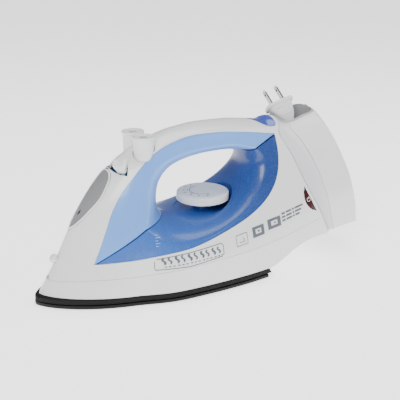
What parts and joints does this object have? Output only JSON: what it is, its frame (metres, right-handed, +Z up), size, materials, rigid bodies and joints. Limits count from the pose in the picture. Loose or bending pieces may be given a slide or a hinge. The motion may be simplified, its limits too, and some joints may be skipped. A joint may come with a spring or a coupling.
{
  "type": "steam iron",
  "caption": "Household steam iron with an open grip handle, water tank, temperature dial, spray and steam buttons, and a heel reel that winds in the cord and docks its plug.",
  "frame": {"origin": "centre of the bounding box in plan, on the plane of the ironing face", "axes": "-X towards the nose, +X towards the cord reel, +Z up out of the handle, +Y to the user's right when the nose points away"},
  "size_m": [0.3301, 0.1156, 0.1639],
  "materials": {
    "sole_black": "dark non-stick plate, semi-gloss",
    "band_black": "black heat-resistant plastic",
    "casting": "as cast",
    "steel": "plain or nickel-plated steel",
    "brass": "plain",
    "rubber_red": "silicone",
    "shell_white": "gloss",
    "collar_grey": "satin",
    "grip_blue": "gloss",
    "tank_blue": "gloss, translucent with a fine sparkle",
    "control_white": "satin",
    "rewind_blue": "gloss",
    "lens_red": "clear dark red",
    "nylon": "natural",
    "cord_white": "matt",
    "board_green": "satin",
    "wire_black": "matt"
  },
  "bodies": {
    "housing": {"soleplate": "sole_black", "heat_band": "band_black", "chamber_cover": "casting", "heating_element": "steel", "thermostat": "nylon", "thermal_fuse": "steel", "valve_seat": "rubber_red", "skirt": "shell_white", "heel_floor": "shell_white", "upper_shell": "shell_white", "collar": "collar_grey", "reel_cover": "shell_white", "grip": "grip_blue", "tank": "tank_blue", "dial_seat": "tank_blue", "tank_base": "tank_blue", "spray_pump": "nylon", "spray_spring": "steel", "steam_pump": "nylon", "steam_spring": "steel", "spray_nozzle": "shell_white", "spray_tube": "nylon", "fill_funnel": "shell_white", "brake_pin": "steel", "indicator_led": "lens_red", "plug_cradle": "collar_grey", "power_spring": "steel", "slip_ring": "brass", "reel_axle": "steel", "reel_frame": "steel", "control_board": "board_green", "tilt_switch": "band_black", "terminal_block": "nylon", "wire_live": "wire_black", "wire_neutral": "wire_black", "heel_screw_left": "steel", "heel_screw_right": "steel", "cover_screw_left": "steel", "cover_screw_right": "steel"},
    "dial": {"temperature_dial": "control_white", "dial_shaft": "steel"},
    "spray": {"spray_button": "control_white", "spray_piston": "nylon"},
    "steam": {"steam_button": "control_white", "steam_piston": "nylon"},
    "lever": {"steam_lever": "control_white", "valve_rod": "brass"},
    "rewind": {"rewind_button": "rewind_blue"},
    "brake": {"brake_lever": "steel"},
    "power": {"power_button": "lens_red"},
    "plug": {"plug_body": "control_white", "plug_blade_left": "steel", "plug_blade_right": "steel", "cord": "cord_white"},
    "reel": {"cord_reel": "nylon", "cord_winding": "cord_white"}
  },
  "joints": [
    {"name": "dial_turn", "type": "hinge", "parent": "housing", "child": "dial", "pos_m": [0.00245, 0, 0.07], "axis": [0, 0, 1], "range_deg": [-135, 135]},
    {"name": "spray_press", "type": "slide", "parent": "housing", "child": "spray", "axis": [0, 0, -1], "range_m": [0, 0.005], "stiffness_N_per_m": 600, "springref_m": -0.003, "deforming": ["spray_spring"]},
    {"name": "steam_press", "type": "slide", "parent": "housing", "child": "steam", "axis": [0, 0, -1], "range_m": [0, 0.005], "stiffness_N_per_m": 600, "springref_m": -0.003, "deforming": ["steam_spring"]},
    {"name": "lever_swing", "type": "hinge", "parent": "housing", "child": "lever", "pos_m": [-0.06515, 0, 0.1085], "axis": [-0.2924, 0, 0.9563], "range_deg": [-72, 0]},
    {"name": "rewind_press", "type": "slide", "parent": "housing", "child": "rewind", "axis": [0, 0, -1], "range_m": [0, 0.0025], "stiffness_N_per_m": 800, "springref_m": -0.002},
    {"name": "brake_turn", "type": "hinge", "parent": "housing", "child": "brake", "pos_m": [0.08485, 0.0143, 0.112], "axis": [0, 1, 0], "range_deg": [-8, 0]},
    {"name": "power_press", "type": "slide", "parent": "housing", "child": "power", "axis": [0, 1, 0], "range_m": [0, 0.0015], "stiffness_N_per_m": 800, "springref_m": -0.002},
    {"name": "plug_pull", "type": "slide", "parent": "housing", "child": "plug", "axis": [0, 0, 1], "range_m": [0, 0.045], "stiffness_N_per_m": 30, "springref_m": -0.06},
    {"name": "reel_spin", "type": "hinge", "parent": "housing", "child": "reel", "pos_m": [0.12295, 0, 0.071], "axis": [0, 1, 0], "range_deg": [0, 105]}
  ],
  "couplings": [
    {"joint": "brake_turn", "follows": "rewind_press", "rad_per_m": -48.8},
    {"joint": "reel_spin", "follows": "plug_pull", "rad_per_m": 39.2}
  ]
}
